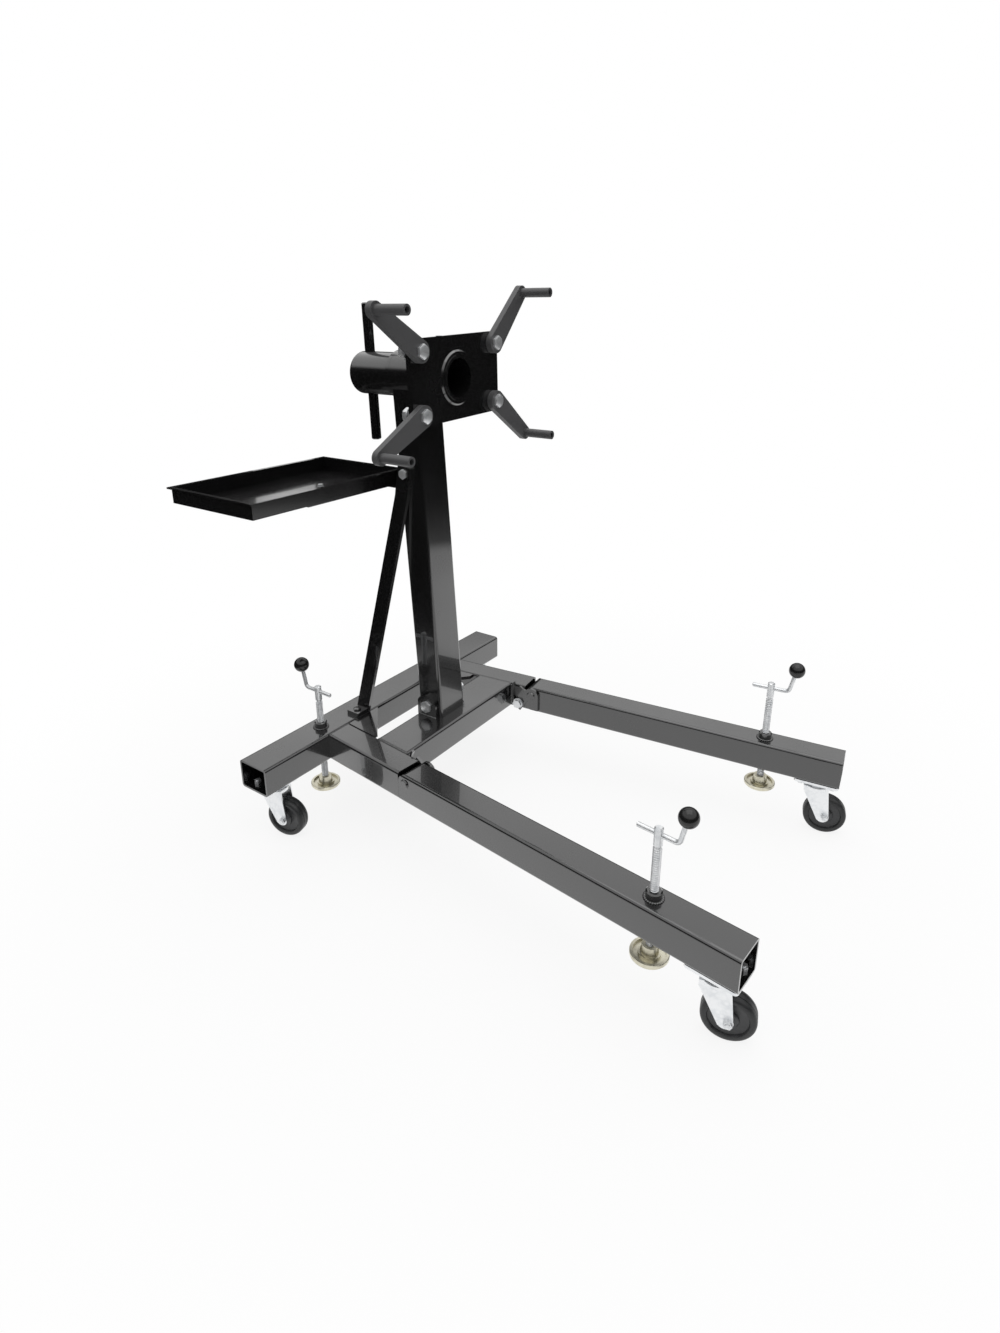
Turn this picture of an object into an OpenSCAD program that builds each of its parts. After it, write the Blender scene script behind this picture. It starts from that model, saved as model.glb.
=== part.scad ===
// Folding engine stand on four swivel casters: a leaning mast with a turning head, four adjustable
// engine arms, a tool tray, two folding legs and four screw jacks.
// Millimetres. +X runs from the rear beam to the leg tips, +Y is the stand's left side, +Z is up.
// The floor is z = 0 and the origin is the middle of the footprint.

/* [Base frame] */
// Length of the rear beam across the stand
beam_len = 780; // [650:1:940]
// Depth of the rear beam, front to back
beam_w = 75; // [62:1:95]
// Height of every base tube
tube_h = 60; // [50:1:75]
// Wall of the base tubes and the mast
tube_t = 4; // [3:0.5:5]
// Outer corner radius of the tubes
tube_r = 6; // [5.5:0.5:9]
// Depth of the front cross tube, front to back
cross_w = 90; // [75:1:108]
// Front face of the cross tube, from the back of the rear beam
cross_front = 258; // [240:1:275]
// Thickness of the corner gussets
gusset_t = 8; // [7.5:0.5:12]
// Gussets' top below the top of the tubes
gusset_drop = 1.5; // [0.5:0.5:4]
// Length of a gusset along the stub
gusset_x = 78; // [50:1:90]
// Length of a gusset along the rear beam
gusset_y = 88; // [50:1:110]

/* [Folding legs] */
// Width of a leg
leg_w = 60; // [50:1:72]
// Length of a leg from its joint line to its tip
leg_len = 693; // [578:1:831]
// Outward splay of the legs and their stubs, in degrees
splay = 6.3; // [3:0.1:9]
// Joint line of the legs, from the back of the rear beam
joint_x = 290; // [278:1:320]
// Middle of a leg at its joint line, from the centre plane
joint_y = 219; // [190:1:250]
// Pivot pin below the leg's top and ahead of its rear end
pivot_in = 18; // [16:0.5:21]
// Diameter of the pivot pin
pivot_d = 12; // [10:0.5:14]
// Thickness of the quadrant plate that locks a leg
quad_t = 6; // [4:0.5:8]
// Radius of the quadrant's slot about the pivot
slot_r = 41; // [36:0.5:43]
// Diameter of the clamp bolt's shoulder
shoulder_d = 12; // [10:0.5:14]

/* [Mast and braces] */
// Depth of the mast, front to back
mast_x = 60; // [50:1:72]
// Width of the mast
mast_y = 80; // [66:1:96]
// Backward lean of the mast, in degrees
mast_lean = 3.6; // [2:0.1:5]
// Height of the head's turning axis above the floor
axis_z = 896; // [800:1:1075]
// Diameter of the mast's foot bolt
foot_bolt_d = 16; // [12:1:20]
// Width of a brace strap
brace_w = 32; // [26:1:38]
// Thickness of a brace strap
brace_t = 8; // [6:0.5:10]
// Height of the braces' upper bolt above the floor
brace_top_z = 708; // [600:1:730]
// Middle of a brace's foot, from the back of the rear beam
brace_foot_x = 58; // [48:1:58]
// Middle of a brace's foot, from the centre plane
brace_foot_y = 106; // [88:1:127]

/* [Turning head] */
// Outside diameter of the spindle tube
spindle_d = 84; // [70:0.5:90]
// Wall of the spindle tube
spindle_t = 6; // [4:0.5:8]
// Wall of the fixed sleeve around the spindle
sleeve_t = 5; // [4:0.1:7]
// Front face of the face plate, from the back of the rear beam
plate_front = 257; // [250:1:270]
// Rear end of the spindle, ahead of the back of the rear beam
spindle_rear = 11; // [0:1:30]
// Edge radius of the spindle's closed rear end
spindle_end = 9; // [4:0.5:12]
// Width of the face plate
plate_w = 262; // [246:1:310]
// Height of the face plate
plate_h = 154; // [150:1:190]
// Thickness of the face plate
plate_t = 11.5; // [8:0.5:16]
// Diameter of the handle bar
handle_d = 20; // [16:1:24]
// Length of the handle bar
handle_len = 270; // [220:1:320]
// Handle bar, ahead of the spindle's rear end
handle_in = 25; // [22:1:50]
// Turn of the head at rest about its axis, in degrees
head_set = 2; // [-10:0.5:10]

/* [Engine arms] */
// Arm pivot to the centre plane
arm_y = 113; // [98:1:114]
// Arm pivot to the turning axis, up and down
arm_z = 56; // [50:1:58]
// Pivot to finger along an arm
arm_len = 130; // [108:1:156]
// Width of an arm at its bolt
arm_w = 40; // [34:1:44]
// Width of an arm at its finger
arm_tip = 28; // [25:1:34]
// Thickness of an arm
arm_t = 12; // [10:0.5:16]
// Upward set of the left upper arm, in degrees
upper_left_set = 44; // [0:1:80]
// Upward set of the right upper arm, in degrees
upper_right_set = 34; // [0:1:80]
// Downward set of the left lower arm, in degrees
lower_left_set = 38; // [0:1:80]
// Downward set of the right lower arm, in degrees
lower_right_set = 24; // [0:1:80]
// Diameter of the arm bolts
arm_bolt_d = 16; // [12:1:18]
// Outside diameter of an arm's finger tube
finger_d = 18; // [15:0.5:24]
// Bore of an arm's finger tube
finger_bore = 11; // [9:0.5:11.5]
// Length of a finger tube ahead of its arm
finger_len = 65; // [50:1:105]

/* [Tool tray] */
// Depth of the tray, front to back
tray_x = 225; // [190:1:240]
// Width of the tray
tray_y = 372; // [310:1:372]
// Height of the tray's wall
tray_h = 30; // [20:1:36]
// Sheet thickness of the tray
tray_t = 2.5; // [2:0.5:4]
// Lip around the tray's rim
tray_lip = 6; // [4:0.5:6]
// Front wall of the tray, from the back of the rear beam
tray_front = 113; // [95:1:114]
// Rim of the tray above the floor
tray_z = 710; // [640:1:730]

/* [Screw jacks] */
// Diameter of a jack's screw
screw_d = 14; // [12:0.5:18]
// Diameter of a jack's foot pad
pad_d = 62; // [52:1:68]
// Underside of the pad to the crank rod
jack_len = 224; // [210:1:250]
// Rear jacks to the centre plane
jack_y = 211; // [185:1:230]
// Front jacks along a leg from its joint line
jack_s = 540; // [480:1:541]
// Rest height of the rear pads above the floor
rear_pad_z = 40; // [20:1:60]
// Rest height of the front pads above the floor
front_pad_z = 70; // [30:1:84]
// Diameter of the crank rod
crank_d = 8; // [6:0.5:10]
// Diameter of the ball knob
knob_d = 31; // [25:1:38]
// Reach of the crank to its ball knob
crank_near = 34; // [28:1:42]
// Reach of the crank's plain end
crank_far = 36; // [30:1:44]
// Outward slant of the knob's stem, in degrees
crank_slant = 12; // [0:1:25]

/* [Casters] */
// Diameter of a caster wheel
wheel_d = 82; // [68:1:99]
// Width of a caster wheel's tread
wheel_w = 27; // [22:1:33]
// Swivel axis to wheel axle
trail = 22; // [18:1:27]
// Heading of the casters from +X, in degrees
heading = 15; // [0:1:30]
// Rear swivel axes to the centre plane
caster_y = 340; // [300:1:345]
// Front swivel axes back from a leg's tip
caster_in = 43; // [43:1:60]
// Diameter of a caster axle
axle_d = 8; // [6.5:0.5:10]

/* [Fits] */
// Radial clearance of a turning or sliding fit
run_fit = 0.06; // [0.02:0.01:0.1]
// Radial clearance of a bolt in its hole
bolt_fit = 0.1; // [0.05:0.05:0.3]
// Gap between faces that move past each other
face_gap = 0.4; // [0.3:0.1:0.8]

/* [Hidden] */
$fn = 64;
head_h = 38;
z_b = wheel_d + head_h;
z_t = z_b + tube_h;
stub_w = leg_w - 2 * face_gap;
pivot_s = pivot_in + 2 * face_gap;
pivot_z = z_t - pivot_in;
lug_t = 8;
lug_out = leg_w / 2 - tube_t - face_gap + 0.1;
lug_r = pivot_in - tube_t - 1;
quad_r = slot_r + shoulder_d / 2 + 5;
clamp_a = 218;
clamp_s = pivot_s + slot_r * cos(clamp_a);
clamp_z = pivot_z + slot_r * sin(clamp_a);
mast_foot_x = cross_front - cross_w;
foot_bolt_x = mast_foot_x + 24;
foot_bolt_z = z_t + 22;
ear_t = 8;
mast_rear_top = mast_foot_x - (brace_top_z - z_t) * tan(mast_lean);
brace_top_x = mast_rear_top + brace_w / 2 + 2;
brace_rise = brace_top_z - z_t;
brace_tilt = atan2(brace_top_x - brace_foot_x, brace_rise);
brace_run = brace_rise / cos(brace_tilt);
brace_bolt_d = 12;
foot_long = 32;
foot_bolt_in = 18;
head_bore = spindle_d + 2 * run_fit;
sleeve_bore = spindle_d + 2 * run_fit;
sleeve_d = sleeve_bore + 2 * sleeve_t;
plate_rear = plate_front - plate_t;
washer_t = 2.2;
sleeve_front = plate_rear - washer_t - face_gap;
collar_w = 8;
mast_rear_head = mast_foot_x - (axis_z - z_t) * tan(mast_lean);
sleeve_rear = mast_rear_head;
lock_x = (mast_rear_head + mast_x + plate_rear) / 2;
arm_x = plate_front + face_gap;
tray_mid = [tray_front - tray_x / 2, -12 - tray_y / 2];
shelf_t = 6;
lip_t = 3;
shelf_top = tray_z - tray_h;
shelf_bolts = [[70, -60], [70, -220], [14, -140]];
jack_fit = 0.08;
nut_d = 26;
nut_h = 14;
pad_h = 8;
socket_h = 14;
knob_rise = 50;
plate_z = z_b - 5;
race_z = plate_z - 8;
crown_t = 5.7;
crown_z = race_z - 0.3 - crown_t;
axle_z = wheel_d / 2;
fork_in = wheel_w / 2 + 1.5;
fork_t = 3;
caster_s = leg_len - caster_in;
tread_r = 6;
wheel_reach = (wheel_d / 2 - tread_r) * cos(heading) + (wheel_w / 2 - tread_r) * sin(heading) + tread_r;
x_max = joint_x + caster_s * cos(splay) + trail * cos(heading) + wheel_reach;
x_min = tray_front - tray_x - tray_lip;
x_mid = (x_max + x_min) / 2;
black = [0.05, 0.05, 0.055];
zinc = [0.78, 0.79, 0.8];
gilt = [0.75, 0.72, 0.58];
rubber = [0.08, 0.08, 0.08];

// Frames

module placed() {
    translate([-x_mid, 0, 0]) children();
}

module on_side(side) {
    if (side > 0) children();
    else mirror([0, 1, 0]) children();
}

module leg_frame() {
    translate([joint_x, joint_y, 0]) rotate([0, 0, splay]) children();
}

module mast_frame() {
    translate([mast_foot_x, 0, z_t]) rotate([0, -mast_lean, 0]) children();
}

module head_frame() {
    translate([0, 0, axis_z]) rotate([90, 0, 90]) rotate([0, 0, head_set]) children();
}

function leg_spot(s, side) = [joint_x + s * cos(splay), side * (joint_y + s * sin(splay)), 0];

function rear_spot(y, side) = [beam_w / 2, side * y, 0];

// Profiles

module round_rect(w, h, r) {
    square([w - 2 * r, h], center = true);
    square([w, h - 2 * r], center = true);
    for (i = [-1, 1], j = [-1, 1])
        translate([i * (w / 2 - r), j * (h / 2 - r)]) circle(r);
}

module tube_profile(w, h) {
    difference() {
        round_rect(w, h, tube_r);
        round_rect(w - 2 * tube_t, h - 2 * tube_t, tube_r - tube_t);
    }
}

module wedge(r, a0, a1) {
    polygon([[0, 0], [r * cos(a0), r * sin(a0)],
        [r * cos((a0 + a1) / 2) * 1.5, r * sin((a0 + a1) / 2) * 1.5], [r * cos(a1), r * sin(a1)]]);
}

module upright(y_hi, thick) {
    translate([0, y_hi, 0]) rotate([90, 0, 0]) linear_extrude(thick) children();
}

module hex(af, h) {
    cylinder(d = af / cos(30), h = h, $fn = 6);
}

// A bolt along +Z with its head below z = 0 and a nut from z = grip
module bolt(d, grip, washer = true) {
    cap = 0.65 * d;
    rim = washer ? 0.18 * d : 0;
    translate([0, 0, -rim - cap]) hex(1.5 * d, cap);
    if (washer) {
        translate([0, 0, -rim]) cylinder(d = 2 * d, h = rim);
        translate([0, 0, grip]) cylinder(d = 2 * d, h = rim);
    }
    translate([0, 0, -rim - 0.1]) cylinder(d = d, h = grip + 2 * rim + d);
    translate([0, 0, grip + rim]) hex(1.5 * d, 0.8 * d);
}

// Base frame

module jack_nut() {
    cylinder(d = nut_d, h = nut_h - 2);
    translate([0, 0, nut_h - 2]) cylinder(d1 = nut_d, d2 = nut_d - 4, h = 2);
}

module jack_bore() {
    translate([0, 0, z_b - 1]) cylinder(d = screw_d + 2 * jack_fit, h = tube_h + nut_h + 2);
}

module caster_holes() {
    for (i = [-1, 1], j = [-1, 1])
        translate([i * 30, j * 16.5, z_b - 1]) cylinder(d = 8 + 2 * bolt_fit, h = tube_t + 2);
}

module rear_beam() {
    color(black) placed() difference() {
        union() {
            translate([beam_w / 2, beam_len / 2, z_b + tube_h / 2]) rotate([90, 0, 0])
                linear_extrude(beam_len) tube_profile(beam_w, tube_h);
            for (side = [-1, 1])
                translate(rear_spot(jack_y, side) + [0, 0, z_t]) jack_nut();
        }
        for (side = [-1, 1]) {
            translate(rear_spot(jack_y, side)) jack_bore();
            translate(rear_spot(caster_y, side)) rotate([0, 0, 90]) caster_holes();
            translate([brace_foot_x, side * (brace_foot_y + foot_bolt_in), z_t - tube_t - 1])
                cylinder(d = 10 + 2 * bolt_fit, h = tube_t + 2);
        }
    }
}

module lug_outline() {
    drop = 0.58 * pivot_in;
    translate([pivot_s, pivot_z]) difference() {
        union() {
            circle(lug_r);
            translate([-10, -30]) square([20, 30]);
            translate([-pivot_s - 46, -30]) square([pivot_s + 56, 30 - drop]);
        }
        circle(d = pivot_d + 2 * run_fit);
    }
}

// The stub is mitred to the rear beam and carries two hinge lugs that reach into the leg
module stub(side) {
    reach = (joint_x - beam_w) / cos(splay) + leg_w;
    color(black) placed() on_side(side) difference() {
        union() {
            intersection() {
                leg_frame() translate([-reach, 0, z_b + tube_h / 2]) rotate([90, 0, 90])
                    linear_extrude(reach) tube_profile(stub_w, tube_h);
                translate([beam_w, 0, 0]) cube([joint_x, joint_x + joint_y, z_t + 1]);
            }
            leg_frame() {
                upright(lug_out, lug_t) lug_outline();
                upright(lug_t - lug_out, lug_t) lug_outline();
            }
        }
        leg_frame() translate([clamp_s, -leg_w, clamp_z]) rotate([-90, 0, 0])
            cylinder(d = 10 + 2 * bolt_fit, h = leg_w - 10);
    }
}

module stub_block() {
    leg_frame() translate([-joint_x * 2, -stub_w / 2, 0]) cube([joint_x * 4, stub_w, z_t + 50]);
}

module mast_ear() {
    r = 26;
    intersection() {
        translate([foot_bolt_x, foot_bolt_z]) union() {
            circle(r);
            translate([-r, -r - 20]) square([2 * r, r + 20]);
        }
        translate([mast_foot_x, z_t]) square([cross_w, 3 * r]);
    }
}

module cross_tube() {
    color(black) placed() difference() {
        union() {
            difference() {
                translate([cross_front - cross_w / 2, joint_y, z_b + tube_h / 2]) rotate([90, 0, 0])
                    linear_extrude(2 * joint_y) tube_profile(cross_w, tube_h);
                for (side = [-1, 1])
                    on_side(side) stub_block();
                for (side = [-1, 1])
                    on_side(side) leg_frame() translate([-joint_x * 2, 0, 0])
                        cube([joint_x * 4, joint_x, z_t + 1]);
            }
            upright(mast_y / 2 + ear_t, ear_t) mast_ear();
            upright(-mast_y / 2, ear_t) mast_ear();
        }
        translate([foot_bolt_x, mast_y, foot_bolt_z]) rotate([90, 0, 0])
            cylinder(d = foot_bolt_d + 2 * bolt_fit, h = 2 * mast_y);
    }
}

module corner_gussets() {
    inner = joint_y - (joint_x - beam_w) * tan(splay) - stub_w / 2 / cos(splay);
    color(black) placed() for (side = [-1, 1])
        on_side(side) difference() {
            translate([0, 0, z_t - gusset_drop - gusset_t]) linear_extrude(gusset_t)
                polygon([[beam_w, inner - gusset_y], [beam_w, inner + 20],
                    [beam_w + gusset_x, inner + 20], [beam_w + gusset_x, inner - 4]]);
            stub_block();
        }
}

// Mast and braces

module mast() {
    long = (axis_z - z_t) / cos(mast_lean) + 10;
    color(black) placed() difference() {
        mast_frame() translate([mast_x / 2, 0, -8]) linear_extrude(long + 8)
            tube_profile(mast_x, mast_y);
        translate([mast_foot_x - 100, -mast_y, z_t - 100]) cube([300, 2 * mast_y, 100]);
        translate([0, -mast_y, axis_z]) cube([400, 2 * mast_y, 100]);
        translate([0, 0, axis_z]) rotate([0, 90, 0]) cylinder(d = sleeve_d, h = 400);
        translate([foot_bolt_x, mast_y, foot_bolt_z]) rotate([90, 0, 0])
            cylinder(d = foot_bolt_d + 2 * bolt_fit, h = 2 * mast_y);
        translate([brace_top_x, mast_y, brace_top_z]) rotate([90, 0, 0])
            cylinder(d = brace_bolt_d + 2 * bolt_fit, h = 2 * mast_y);
        bracket_bolt_spots() translate([0, 0, -1]) cylinder(d = 8 + 2 * bolt_fit, h = tube_t + 2);
    }
}

module mast_foot_bolt() {
    color(zinc) placed() translate([foot_bolt_x, -mast_y / 2 - ear_t, foot_bolt_z])
        rotate([-90, 0, 0]) bolt(foot_bolt_d, mast_y + 2 * ear_t);
}

// A strap that runs from a foot tab on the rear beam to a flat tab on the mast's side
module brace(side) {
    y0 = mast_y / 2;
    bend = brace_run - 50;
    foot = [brace_foot_x - brace_w / 2, brace_foot_y - brace_t / 2 + 1, z_t];
    color(black) placed() on_side(side) difference() {
        union() {
            translate([brace_foot_x, 0, z_t]) rotate([0, brace_tilt, 0])
                translate([-brace_w / 2, 0, 0]) rotate([90, 0, 90]) linear_extrude(brace_w)
                    polygon([[brace_foot_y - brace_t / 2, -10], [y0, bend - 2],
                        [y0, brace_run + brace_w / 2 - 1], [y0 + brace_t, brace_run + brace_w / 2 - 1],
                        [y0 + brace_t, bend], [brace_foot_y + brace_t / 2, -10]]);
            translate(foot) cube([brace_w, foot_long + brace_t / 2 - 1, brace_t]);
        }
        translate([0, 0, z_t - 60]) cube([200, 200, 60]);
        translate([brace_foot_x, brace_foot_y + foot_bolt_in, z_t - 1]) cylinder(d = 10 + 2 * bolt_fit, h = 20);
        translate([brace_top_x, mast_y, brace_top_z]) rotate([90, 0, 0])
            cylinder(d = brace_bolt_d + 2 * bolt_fit, h = mast_y);
    }
}

module brace_bolts() {
    color(zinc) placed() {
        translate([brace_top_x, -mast_y / 2 - brace_t, brace_top_z]) rotate([-90, 0, 0])
            bolt(brace_bolt_d, mast_y + 2 * brace_t);
        for (side = [-1, 1])
            translate([brace_foot_x, side * (brace_foot_y + foot_bolt_in), z_t + brace_t]) mirror([0, 0, 1])
                bolt(10, tube_t + brace_t);
    }
}

// Head

module sleeve() {
    boss_d = 28;
    color(black) placed() difference() {
        union() {
            translate([sleeve_rear, 0, axis_z]) rotate([0, 90, 0])
                cylinder(d = sleeve_d, h = sleeve_front - sleeve_rear);
            translate([lock_x, 0, axis_z]) cylinder(d = boss_d, h = sleeve_d / 2 + 11);
        }
        translate([0, 0, axis_z]) rotate([0, 90, 0]) cylinder(d = sleeve_bore, h = 400);
        translate([lock_x, 0, axis_z]) cylinder(d = 12 + 2 * run_fit, h = sleeve_d);
    }
}

module lock_screw() {
    tip = axis_z + spindle_d / 2 + face_gap;
    top = axis_z + sleeve_d / 2 + 28;
    grip = 20;
    color(zinc) placed() {
        translate([lock_x, 0, tip]) cylinder(d = 12, h = top - tip);
        translate([lock_x, grip, top - 8]) rotate([90, 0, 0]) cylinder(d = 8, h = 2 * grip);
        for (side = [-1, 1])
            translate([lock_x, side * grip, top - 8]) sphere(d = 12);
    }
}

module spindle() {
    long = plate_front + 4 - spindle_rear;
    color(black) placed() head_frame() translate([0, 0, spindle_rear]) difference() {
        rotate_extrude() {
            translate([0, spindle_end]) square([spindle_d / 2, long - spindle_end]);
            square([spindle_d / 2 - spindle_end, 2 * spindle_end]);
            translate([spindle_d / 2 - spindle_end, spindle_end]) circle(spindle_end);
        }
        translate([0, 0, spindle_end]) cylinder(d = spindle_d - 2 * spindle_t, h = long);
        translate([0, spindle_d, handle_in]) rotate([90, 0, 0])
            cylinder(d = handle_d + 2 * run_fit, h = 2 * spindle_d);
    }
}

module arm_spots() {
    for (i = [-1, 1], j = [-1, 1])
        translate([i * arm_y, j * arm_z, 0]) children();
}

module face_plate() {
    color(black) placed() head_frame() difference() {
        union() {
            translate([0, 0, plate_rear]) linear_extrude(plate_t) round_rect(plate_w, plate_h, 12);
            translate([0, 0, plate_front]) cylinder(d1 = spindle_d + 18, d2 = spindle_d + 12, h = 3);
        }
        translate([0, 0, plate_rear - 1]) cylinder(d = head_bore, h = plate_t + 10);
        arm_spots() translate([0, 0, plate_rear - 1])
            cylinder(d = arm_bolt_d + 2 * bolt_fit, h = plate_t + 2);
    }
}

module ring(x0, x1, outer) {
    head_frame() translate([0, 0, x0]) difference() {
        cylinder(d = outer, h = x1 - x0);
        translate([0, 0, -1]) cylinder(d = head_bore, h = x1 - x0 + 2);
    }
}

module thrust_washer() {
    color(zinc) placed() ring(plate_rear - washer_t, plate_rear, sleeve_d + 8);
}

module retaining_collar() {
    color(black) placed()
        ring(sleeve_rear - face_gap - collar_w, sleeve_rear - face_gap, spindle_d + 10);
}

module handle_bar() {
    color(black) placed() head_frame() translate([0, handle_len / 2, spindle_rear + handle_in])
        rotate([90, 0, 0]) {
            cylinder(d1 = handle_d - 4, d2 = handle_d, h = 2);
            translate([0, 0, 2]) cylinder(d = handle_d, h = handle_len - 4);
            translate([0, 0, handle_len - 2]) cylinder(d1 = handle_d, d2 = handle_d - 4, h = 2);
        }
}

// Shouldered bolts that clamp the arms to the face plate
module arm_bolts() {
    front = arm_x + arm_t + face_gap;
    color(zinc) placed() head_frame() arm_spots() {
        translate([0, 0, front + 3]) hex(1.5 * arm_bolt_d, 10);
        translate([0, 0, front]) cylinder(d = 2 * arm_bolt_d, h = 3.1);
        translate([0, 0, plate_rear - 16]) cylinder(d = arm_bolt_d, h = front - plate_rear + 16.1);
        translate([0, 0, plate_rear - 3]) cylinder(d = 2 * arm_bolt_d, h = 3);
        translate([0, 0, plate_rear - 14]) hex(1.5 * arm_bolt_d, 11.1);
    }
}

// A flat bar with round ends that narrows from the bolt to the finger
module arm_outline() {
    circle(d = arm_w);
    translate([arm_len, 0]) circle(d = arm_tip);
    polygon([[0, arm_w / 2], [0, -arm_w / 2], [arm_len, -arm_tip / 2], [arm_len, arm_tip / 2]]);
}

module arm(side, up, set) {
    color(black) placed() head_frame() translate([side * arm_y, up * arm_z, arm_x])
        mirror([side < 0 ? 1 : 0, 0, 0]) mirror([0, up < 0 ? 1 : 0, 0]) rotate([0, 0, set])
            difference() {
                union() {
                    linear_extrude(arm_t) arm_outline();
                    translate([arm_len, 0, 0]) cylinder(d = finger_d, h = arm_t + finger_len);
                }
                translate([0, 0, -1]) cylinder(d = arm_bolt_d + 2 * run_fit, h = arm_t + 2);
                translate([arm_len, 0, -1]) cylinder(d = finger_bore, h = arm_t + finger_len + 2);
            }
}

// Tool tray

module bracket_bolt_spots() {
    for (up = [16, 40])
        mast_frame() translate([0, -6, (shelf_top - z_t) / cos(mast_lean) - shelf_t - up])
            rotate([0, 90, 0]) children();
}

// A bent plate bolted to the back of the mast, with a shelf under the tray
module tray_bracket() {
    low = shelf_top - 58;
    top_x = mast_foot_x - (shelf_top - z_t) * tan(mast_lean);
    low_x = mast_foot_x - (low - z_t) * tan(mast_lean);
    color(black) placed() difference() {
        union() {
            upright(24, 60) polygon([[30, shelf_top], [top_x, shelf_top], [low_x, low], [low_x - shelf_t, low],
                [top_x + shelf_t * (tan(mast_lean) - 1), shelf_top - shelf_t], [30, shelf_top - shelf_t]]);
            translate([0, 0, shelf_top - shelf_t]) linear_extrude(shelf_t) {
                translate([30, -250]) square([70, 220]);
                translate([-10, -165]) square([50, 50]);
            }
        }
        for (p = shelf_bolts)
            translate([p[0], p[1], shelf_top - shelf_t - 1]) cylinder(d = 6 + 2 * bolt_fit, h = 20);
        bracket_bolt_spots() translate([0, 0, -8]) cylinder(d = 8 + 2 * bolt_fit, h = 20);
    }
}

module tray() {
    color(black) placed() difference() {
        translate([tray_mid[0], tray_mid[1], shelf_top]) {
            translate([-tray_x / 2, -tray_y / 2, 0]) cube([tray_x, tray_y, tray_t]);
            for (end = [0, 1])
                mirror([end, 0, 0]) translate([tray_x / 2 - tray_t, -tray_y / 2, 0]) {
                    cube([tray_t, tray_y, tray_h]);
                    translate([0, 0, tray_h - lip_t]) cube([tray_t + tray_lip, tray_y, lip_t]);
                }
        }
        for (p = shelf_bolts)
            translate([p[0], p[1], shelf_top - 1]) cylinder(d = 6 + 2 * bolt_fit, h = 10);
    }
}

// The two end plates that are welded into the folded pan
module tray_ends() {
    inner = tray_x - 2 * tray_t;
    color(black) placed() translate([tray_mid[0], tray_mid[1], shelf_top])
        for (end = [0, 1])
            mirror([0, end, 0]) translate([0, tray_y / 2 - tray_t, 0]) {
                translate([-inner / 2, 0, tray_t]) cube([inner, tray_t, tray_h - tray_t]);
                translate([-inner / 2, 0, tray_h - lip_t]) cube([inner, tray_t + tray_lip, lip_t]);
                translate([-tray_x / 2 - tray_lip, tray_t, tray_h - lip_t])
                    cube([tray_x + 2 * tray_lip, tray_lip, lip_t]);
            }
}

module tray_bolts() {
    color(zinc) placed() {
        for (p = shelf_bolts)
            translate([p[0], p[1], shelf_top + tray_t]) mirror([0, 0, 1])
                bolt(6, shelf_t + tray_t);
        bracket_bolt_spots() translate([0, 0, -6]) bolt(8, 6 + tube_t);
    }
}

// Folding legs

// Lock plate on a leg's inner face; its slot swings off the clamp bolt as the leg folds
module quadrant() {
    open_a = 148;
    difference() {
        union() {
            translate([pivot_s, pivot_z]) intersection() {
                circle(quad_r);
                wedge(2 * quad_r, open_a, 238);
            }
            translate([pivot_s, pivot_z]) circle(pivot_in);
            translate([pivot_s - 2, z_b + 6]) square([pivot_in + 2, pivot_z - z_b - 6]);
        }
        translate([pivot_s, pivot_z]) intersection() {
            difference() {
                circle(slot_r + shoulder_d / 2 + face_gap);
                circle(slot_r - shoulder_d / 2 - face_gap);
            }
            wedge(2 * quad_r, open_a - 10, clamp_a);
        }
        translate([clamp_s, clamp_z]) circle(d = shoulder_d + 2 * face_gap);
    }
}

module leg(side) {
    start = 2 * face_gap;
    color(black) placed() on_side(side) leg_frame() difference() {
        union() {
            difference() {
                translate([start, 0, z_b + tube_h / 2]) rotate([90, 0, 90])
                    linear_extrude(leg_len - start) tube_profile(leg_w, tube_h);
                upright(leg_w, 2 * leg_w) difference() {
                    translate([-1, pivot_z]) square([pivot_s + 1, pivot_in + 1]);
                    translate([pivot_s, pivot_z]) circle(pivot_in);
                }
            }
            upright(-leg_w / 2, quad_t) quadrant();
            translate([jack_s, 0, z_t]) jack_nut();
        }
        translate([pivot_s, leg_w, pivot_z]) rotate([90, 0, 0])
            cylinder(d = pivot_d + 2 * run_fit, h = 2 * leg_w);
        translate([jack_s, 0, 0]) jack_bore();
        translate([caster_s, 0, 0]) caster_holes();
    }
}

module leg_pivots() {
    inner = leg_w / 2 + quad_t + face_gap;
    outer = leg_w / 2 + face_gap;
    color(black) placed() for (side = [-1, 1])
        on_side(side) leg_frame() translate([pivot_s, 0, pivot_z]) rotate([-90, 0, 0]) {
            translate([0, 0, -inner]) cylinder(d = pivot_d, h = inner + outer);
            translate([0, 0, -inner - 3]) cylinder(d1 = 16, d2 = 20, h = 3);
            translate([0, 0, outer]) cylinder(d1 = 20, d2 = 16, h = 3);
        }
}

module clamp_bolts() {
    over = leg_w / 2 + quad_t + face_gap;
    color(zinc) placed() for (side = [-1, 1])
        on_side(side) leg_frame() translate([clamp_s, 0, clamp_z]) rotate([90, 0, 0]) {
            translate([0, 0, lug_out - lug_t - 3]) cylinder(d = 10, h = stub_w / 2 - lug_out + lug_t + 3.1);
            translate([0, 0, stub_w / 2]) cylinder(d = shoulder_d, h = over - stub_w / 2 + 0.1);
            translate([0, 0, over]) cylinder(d = 24, h = 2.1);
            translate([0, 0, over + 2]) hex(18, 8);
        }
}

// Screw jacks, with the foot pad's underside at z = 0

module knob_frame(dir) {
    translate([dir * crank_near, 0, jack_len]) rotate([0, dir * crank_slant, 0]) children();
}

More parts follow.
